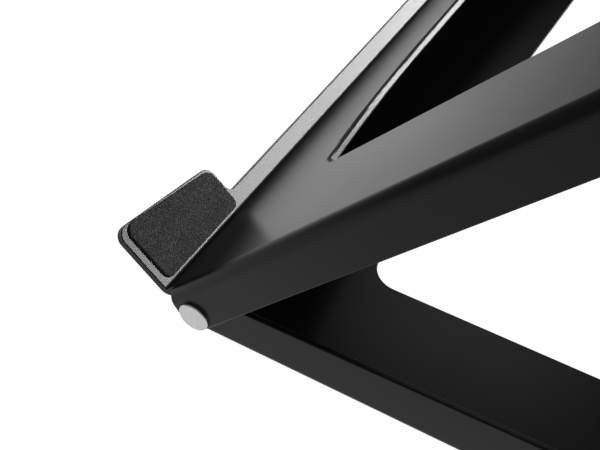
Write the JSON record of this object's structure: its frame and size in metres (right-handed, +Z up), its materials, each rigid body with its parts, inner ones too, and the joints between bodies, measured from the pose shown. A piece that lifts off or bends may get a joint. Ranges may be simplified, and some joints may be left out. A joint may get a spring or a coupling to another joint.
{
  "type": "laptop stand",
  "caption": "Folding steel laptop stand: sloping plate with a padded front lip, hinged to a flat base tray and held up by a prop leg that stands in notched racks.",
  "frame": {"origin": "middle of the stand's footprint at table level, as it stands open", "axes": "+X to the user's right, along the hinge axis; +Y to the rear, away from the user; +Z up"},
  "size_m": [0.2618, 0.2751, 0.1918],
  "materials": {
    "black_paint": "satin black powder coat",
    "foam": "fine-celled charcoal foam",
    "chrome": "polished chrome plate",
    "zinc_steel": "bright zinc plate",
    "nylon": "black nylon",
    "rubber": "matt black rubber",
    "rack_plastic": "matt black moulded plastic"
  },
  "bodies": {
    "base": {"base_tray": "black_paint", "hinge_pin_right": "chrome", "hinge_pin_left": "chrome", "hinge_washer_right": "nylon", "hinge_washer_left": "nylon", "spring_washer_right": "zinc_steel", "spring_washer_left": "zinc_steel", "hinge_nut_right": "zinc_steel", "hinge_nut_left": "zinc_steel", "rack_right": "rack_plastic", "rack_left": "rack_plastic", "rack_rivets": "zinc_steel", "foot_front_right": "rubber", "foot_front_left": "rubber", "foot_rear_right": "rubber", "foot_rear_left": "rubber"},
    "support": {"support_plate": "black_paint", "lip_pad_right": "foam", "lip_pad_left": "foam", "deck_pad_right": "foam", "deck_pad_left": "foam", "prop_lug_right": "black_paint", "prop_lug_left": "black_paint", "prop_pin_right": "zinc_steel", "prop_pin_left": "zinc_steel"},
    "prop": {"prop_leg": "black_paint", "foot_rod": "zinc_steel", "rod_sleeve_right": "rubber", "rod_sleeve_left": "rubber"}
  },
  "joints": [
    {"name": "support_tilt", "type": "hinge", "parent": "base", "child": "support", "pos_m": [0, -0.1125, 0.0097], "axis": [1, 0, 0], "range_deg": [-46, 7.4]},
    {"name": "prop_swing", "type": "hinge", "parent": "support", "child": "prop", "pos_m": [0, -0.03143, 0.09817], "axis": [1, 0, 0], "range_deg": [-15, 92.5]}
  ],
  "couplings": [
    {"joint": "prop_swing", "follows": "support_tilt", "ratio": -2}
  ]
}
